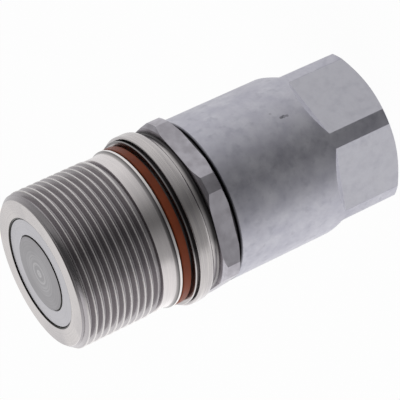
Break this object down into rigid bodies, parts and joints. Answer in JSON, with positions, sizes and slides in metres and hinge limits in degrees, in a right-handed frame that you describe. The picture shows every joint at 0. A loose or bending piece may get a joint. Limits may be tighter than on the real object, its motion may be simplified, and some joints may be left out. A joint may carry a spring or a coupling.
{
  "type": "flat face quick coupling",
  "caption": "Screw-on flat face hydraulic coupling half with a fixed valve stem, a spring-loaded valve sleeve, a male connection thread, a hexagon flange and a female port thread.",
  "frame": {"origin": "centre of the port end face, at the bottom of the standing part", "axes": "+Z along the coupling's axis from the port end to the flat face, +X through the middle of one rear spanner flat"},
  "size_m": [0.0464, 0.0484, 0.096],
  "materials": {
    "dull_steel": "dull zinc-plated, slightly mottled",
    "bright_steel": "bright turned and plated",
    "red_plastic": "satin red-brown",
    "sleeve_steel": "fine turned",
    "stem_steel": "turned, concentric marks",
    "support_steel": "plated",
    "nut_steel": "plated",
    "washer_steel": "plated",
    "seat_steel": "plated",
    "spring_steel": "drawn wire",
    "seal_rubber": "black nitrile",
    "backup_plastic": "white, waxy",
    "guide_plastic": "grey filled plastic"
  },
  "bodies": {
    "housing": {"port_body": "dull_steel", "coupling_body": "bright_steel", "indicator_ring": "red_plastic", "valve_stem": "stem_steel", "stem_support": "support_steel", "stem_nut": "nut_steel", "lock_washer": "washer_steel", "spring_seat": "seat_steel", "sleeve_spring": "spring_steel", "sleeve_seal": "seal_rubber", "sleeve_backup_ring": "backup_plastic", "head_seal": "seal_rubber", "head_backup_ring": "backup_plastic", "body_seal": "seal_rubber", "body_backup_ring": "backup_plastic"},
    "sleeve": {"valve_sleeve": "sleeve_steel", "guide_ring": "guide_plastic"}
  },
  "joints": [
    {"name": "sleeve_slide", "type": "slide", "parent": "housing", "child": "sleeve", "axis": [0, 0, -1], "range_m": [0, 0.009], "stiffness_N_per_m": 2250, "springref_m": -0.014, "deforming": ["sleeve_spring"]}
  ]
}
